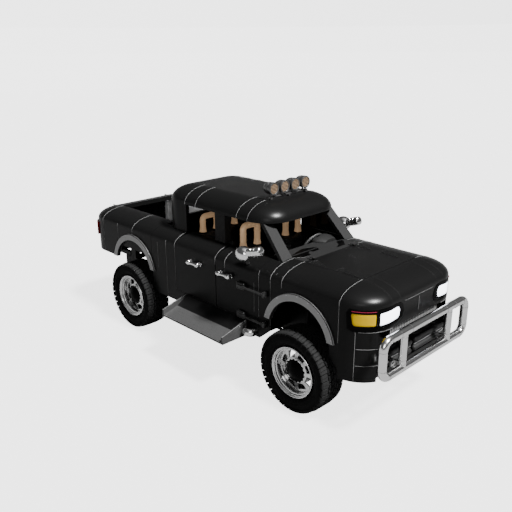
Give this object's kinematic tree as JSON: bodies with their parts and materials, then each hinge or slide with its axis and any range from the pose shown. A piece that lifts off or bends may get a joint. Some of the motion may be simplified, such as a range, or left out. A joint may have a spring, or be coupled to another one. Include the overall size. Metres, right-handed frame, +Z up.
{
  "type": "lifted off-road 4x4 crew-cab pickup",
  "caption": "Lifted off-road 4x4 pickup with a rounded crew cab, open bed, bull bar, roof lamps and side steps; its wheels, steering, doors, hood and tailgate move.",
  "frame": {"origin": "middle of the vehicle's overall length and width, on the ground", "axes": "+X forward, +Y to the vehicle's left, +Z up"},
  "size_m": [5.3189, 2.45, 2.3059],
  "materials": {
    "body_black": "gloss black paint",
    "trim_dark": "satin dark grey",
    "chassis_black": "satin black",
    "bright_chrome": "polished",
    "brushed_grey": "brushed",
    "step_grey": "satin grey",
    "tyre_black": "matt",
    "seat_black": "satin black",
    "tan_frame": "satin tan",
    "lamp_white": "clear bright lens",
    "lamp_amber": "amber lens",
    "lamp_red": "red lens",
    "cast_dark": "rough casting"
  },
  "bodies": {
    "truck": {"frame_rails": "chassis_black", "bed_mounts": "chassis_black", "cab_floor": "body_black", "cab_quarters": "body_black", "cab_back": "body_black", "pillars": "trim_dark", "cab_roof": "body_black", "fenders": "body_black", "cowl": "trim_dark", "hood_hinges": "chassis_black", "nose_panel": "body_black", "grille": "trim_dark", "headlamps": "lamp_white", "turn_lamps": "lamp_amber", "front_bumper": "body_black", "rear_bumper": "chassis_black", "bull_bar": "bright_chrome", "bed": "body_black", "tail_lamps": "lamp_red", "arch_flares": "brushed_grey", "side_steps": "step_grey", "rocker_skirts": "trim_dark", "roof_lamps": "brushed_grey", "exhaust": "bright_chrome", "dashboard": "trim_dark", "steering_column": "trim_dark", "seats_front": "seat_black", "seat_rear": "seat_black", "seat_hoops": "tan_frame", "engine": "cast_dark", "driveline": "cast_dark", "fuel_tank": "chassis_black", "axle_front": "cast_dark", "axle_rear": "cast_dark", "suspension": "chassis_black", "hinge_brackets": "chassis_black"},
    "hood": {"hood": "body_black"},
    "tailgate": {"tailgate": "body_black"},
    "steering_wheel": {"steering_wheel": "trim_dark"},
    "tie_rod": {"tie_rod": "chassis_black"},
    "door_front_right": {"door_front_right": "body_black", "fittings_front_right": "bright_chrome"},
    "wheel_front_right": {"tyre_front_right": "tyre_black", "wheel_front_right": "bright_chrome"},
    "door_rear_right": {"door_rear_right": "body_black", "fittings_rear_right": "bright_chrome"},
    "wheel_rear_right": {"tyre_rear_right": "tyre_black", "wheel_rear_right": "bright_chrome"},
    "knuckle_right": {"knuckle_right": "cast_dark"},
    "door_front_left": {"door_front_left": "body_black", "fittings_front_left": "bright_chrome"},
    "wheel_front_left": {"tyre_front_left": "tyre_black", "wheel_front_left": "bright_chrome"},
    "door_rear_left": {"door_rear_left": "body_black", "fittings_rear_left": "bright_chrome"},
    "wheel_rear_left": {"tyre_rear_left": "tyre_black", "wheel_rear_left": "bright_chrome"},
    "knuckle_left": {"knuckle_left": "cast_dark"}
  },
  "joints": [
    {"name": "steer_right", "type": "hinge", "parent": "truck", "child": "knuckle_right", "pos_m": [1.5935, -0.7045, 0.47], "axis": [0, 0, 1], "range_deg": [-24, 24]},
    {"name": "spin_front_right", "type": "hinge", "parent": "knuckle_right", "child": "wheel_front_right", "pos_m": [1.5935, -0.7965, 0.47], "axis": [0, 1, 0], "continuous": true},
    {"name": "spin_rear_right", "type": "hinge", "parent": "truck", "child": "wheel_rear_right", "pos_m": [-1.4765, -0.7965, 0.47], "axis": [0, 1, 0], "continuous": true},
    {"name": "door_front_right_swing", "type": "hinge", "parent": "truck", "child": "door_front_right", "pos_m": [1.1155, -0.89, 1], "axis": [0, 0, 1], "range_deg": [0, 65]},
    {"name": "door_rear_right_swing", "type": "hinge", "parent": "truck", "child": "door_rear_right", "pos_m": [0.2485, -0.835, 1.1], "axis": [0, 0, 1], "range_deg": [0, 65]},
    {"name": "steer_left", "type": "hinge", "parent": "truck", "child": "knuckle_left", "pos_m": [1.5935, 0.7045, 0.47], "axis": [0, 0, 1], "range_deg": [-24, 24]},
    {"name": "spin_front_left", "type": "hinge", "parent": "knuckle_left", "child": "wheel_front_left", "pos_m": [1.5935, 0.7965, 0.47], "axis": [0, 1, 0], "continuous": true},
    {"name": "spin_rear_left", "type": "hinge", "parent": "truck", "child": "wheel_rear_left", "pos_m": [-1.4765, 0.7965, 0.47], "axis": [0, 1, 0], "continuous": true},
    {"name": "door_front_left_swing", "type": "hinge", "parent": "truck", "child": "door_front_left", "pos_m": [1.1155, 0.89, 1], "axis": [0, 0, -1], "range_deg": [0, 65]},
    {"name": "door_rear_left_swing", "type": "hinge", "parent": "truck", "child": "door_rear_left", "pos_m": [0.2485, 0.835, 1.1], "axis": [0, 0, -1], "range_deg": [0, 65]},
    {"name": "hood_lift", "type": "hinge", "parent": "truck", "child": "hood", "pos_m": [1.3465, 0, 1.566], "axis": [0, -1, 0], "range_deg": [0, 55]},
    {"name": "tailgate_drop", "type": "hinge", "parent": "truck", "child": "tailgate", "pos_m": [-2.5995, 0, 0.96], "axis": [0, -1, 0], "range_deg": [0, 90]},
    {"name": "tie_rod_pivot", "type": "hinge", "parent": "knuckle_left", "child": "tie_rod", "pos_m": [1.4435, 0.7045, 0.418], "axis": [0, 0, 1], "range_deg": [-24, 24]},
    {"name": "steering_wheel_turn", "type": "hinge", "parent": "truck", "child": "steering_wheel", "pos_m": [0.7235, 0.37, 1.4], "axis": [-0.9063, 0, 0.4226], "range_deg": [-384, 384]}
  ],
  "couplings": [
    {"joint": "steer_right", "follows": "steer_left", "ratio": 1},
    {"joint": "tie_rod_pivot", "follows": "steer_left", "ratio": -1},
    {"joint": "steering_wheel_turn", "follows": "steer_left", "ratio": 16}
  ]
}
